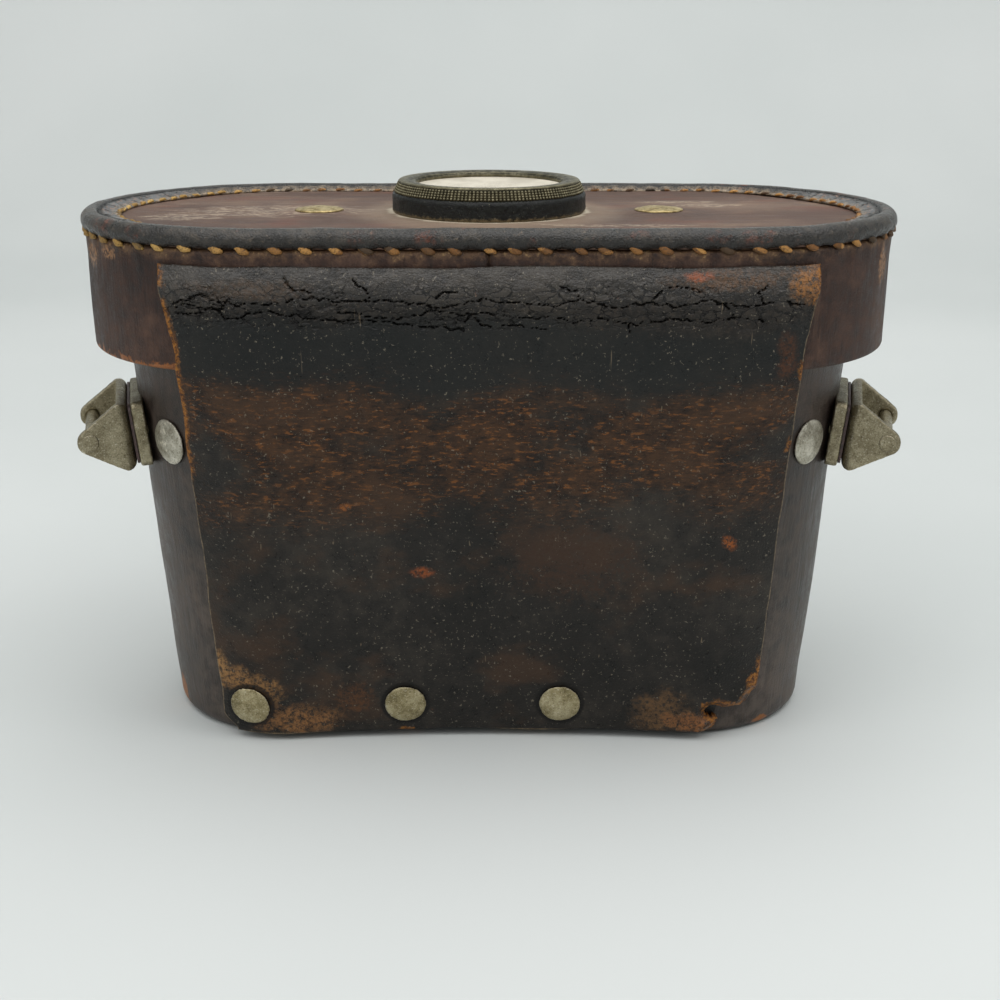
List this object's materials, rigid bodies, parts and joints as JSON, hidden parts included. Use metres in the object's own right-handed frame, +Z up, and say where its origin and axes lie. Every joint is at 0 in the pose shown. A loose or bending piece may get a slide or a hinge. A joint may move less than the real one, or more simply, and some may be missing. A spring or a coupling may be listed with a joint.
{
  "type": "binocular hard case",
  "caption": "Moulded leather binocular case with a hinged lid, a compass let into the lid and a strap clevis on each end.",
  "frame": {"origin": "centre of the base, on the face that the case stands on", "axes": "+X along the length of the case, -Y towards the leather hinge, +Z up through the lid"},
  "size_m": [0.21, 0.1084, 0.1343],
  "materials": {
    "case_leather": "aged, burnished, darkened brown",
    "lid_leather": "aged brown with fine creases",
    "lid_top_leather": "dusty worn mauve brown",
    "rim_leather": "black, rolled and polished by wear",
    "panel_leather": "thick, blackened, cracked, orange raw edges",
    "inner_leather": "plain brown flesh side",
    "felt": "worn wool felt",
    "nickel": "aged nickel plate, pitted",
    "band_steel": "plain sheet",
    "fibre": "vulcanised fibre washer",
    "brass": "dulled brass",
    "black_paint": "rough black enamel with chips",
    "bezel_metal": "blackened, worn through on the knurling",
    "crystal": "clouded glass",
    "dial": "yellowed cream card"
  },
  "bodies": {
    "case": {"body_shell": "case_leather", "base_panel": "case_leather", "mouth_collar": "inner_leather", "body_lining": "felt", "base_pad": "felt", "hinge_panel": "panel_leather", "panel_rivets": "nickel", "panel_rivet_burrs": "nickel", "side_rivets": "nickel", "left_end_band": "band_steel", "right_end_band": "band_steel", "left_strap_plate": "nickel", "right_strap_plate": "nickel", "strap_plate_rivets": "nickel", "left_swivel_washer": "fibre", "right_swivel_washer": "fibre", "left_swivel_stud": "nickel", "right_swivel_stud": "nickel", "closing_stud": "brass", "closing_stud_burr": "brass"},
    "lid": {"lid_skirt": "lid_leather", "lid_top": "lid_top_leather", "lid_rim_binding": "rim_leather", "lid_lining": "felt", "hinge_panel_lid_run": "panel_leather", "lid_rivets": "brass", "compass_case": "black_paint", "compass_bezel": "bezel_metal", "compass_crystal": "crystal", "compass_dial": "dial", "compass_pivot": "brass", "compass_stay": "brass", "compass_lock_ring": "black_paint", "closing_tab_anchor": "panel_leather", "tab_rivets": "nickel"},
    "closing_tab": {"closing_tab": "panel_leather"},
    "left_clevis": {"left_clevis": "nickel", "left_strap_pin": "nickel"},
    "right_clevis": {"right_clevis": "nickel", "right_strap_pin": "nickel"},
    "compass_needle": {"compass_needle": "band_steel"}
  },
  "joints": [
    {"name": "lid_hinge", "type": "hinge", "parent": "case", "child": "lid", "pos_m": [0, -0.0484, 0.096], "axis": [1, 0, 0], "range_deg": [0, 140]},
    {"name": "closing_tab_hinge", "type": "hinge", "parent": "lid", "child": "closing_tab", "pos_m": [0, 0.0482, 0.096], "axis": [1, 0, 0], "range_deg": [-28, 80]},
    {"name": "left_clevis_swivel", "type": "hinge", "parent": "case", "child": "left_clevis", "pos_m": [-0.0854, -0.00815, 0.076], "axis": [-0.969, -0.2237, -0.1045], "continuous": true},
    {"name": "right_clevis_swivel", "type": "hinge", "parent": "case", "child": "right_clevis", "pos_m": [0.0854, -0.00815, 0.076], "axis": [0.969, -0.2237, -0.1045], "continuous": true},
    {"name": "compass_needle_spin", "type": "hinge", "parent": "lid", "child": "compass_needle", "pos_m": [0, 0, 0.1296], "axis": [0, 0, 1], "continuous": true}
  ]
}
